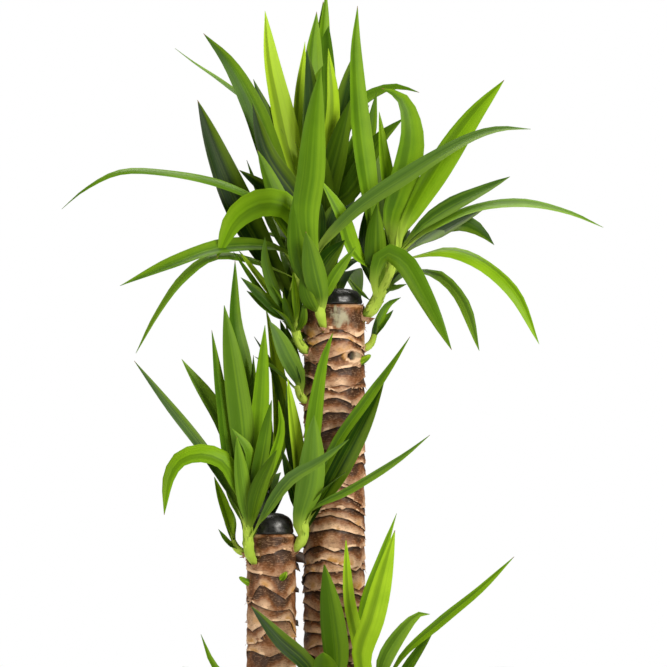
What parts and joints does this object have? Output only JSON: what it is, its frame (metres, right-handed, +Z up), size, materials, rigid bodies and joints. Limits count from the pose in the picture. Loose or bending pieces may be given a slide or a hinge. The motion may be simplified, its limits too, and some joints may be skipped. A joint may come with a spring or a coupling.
{
  "type": "potted yucca",
  "caption": "Yucca with three bare canes of stepped height, wax-sealed tops and tufts of sword-shaped leaves, in a plain round pot filled with soil.",
  "frame": {"origin": "middle of the pot's flat underside", "axes": "+Z up, the plant's front faces -Y, +X to the right seen from the front"},
  "size_m": [0.6507, 0.6121, 1.1644],
  "materials": {
    "pot": "plain dark moulded plastic, satin",
    "soil": "dark crumbly potting soil with bark fibre",
    "bark": "brown bark with papery ringed leaf scars",
    "wax": "black glossy tree wax",
    "leaf": "satin green blade, lime when young, with fine lengthwise veins",
    "bud": "pale green bud scales"
  },
  "bodies": {
    "root": {"pot": "pot", "soil": "soil", "cane_tall": "bark", "cane_medium": "bark", "cane_short": "bark", "wax_cap_tall": "wax", "wax_cap_medium": "wax", "wax_cap_short": "wax", "tall_shoot_back": "leaf", "tall_shoot_right": "leaf", "tall_shoot_front": "leaf", "tall_shoot_left": "leaf", "tall_shoot_low_left": "leaf", "tall_shoot_side_left": "leaf", "tall_shoot_side_right": "leaf", "medium_shoot_left": "leaf", "medium_shoot_far_left": "leaf", "medium_shoot_back": "leaf", "medium_shoot_right": "leaf", "short_shoot_left": "leaf", "short_shoot_right": "leaf", "short_shoot_back": "leaf", "bud_tall_right": "bud", "bud_medium_right": "bud", "bud_medium_left": "bud"}
  },
  "joints": []
}
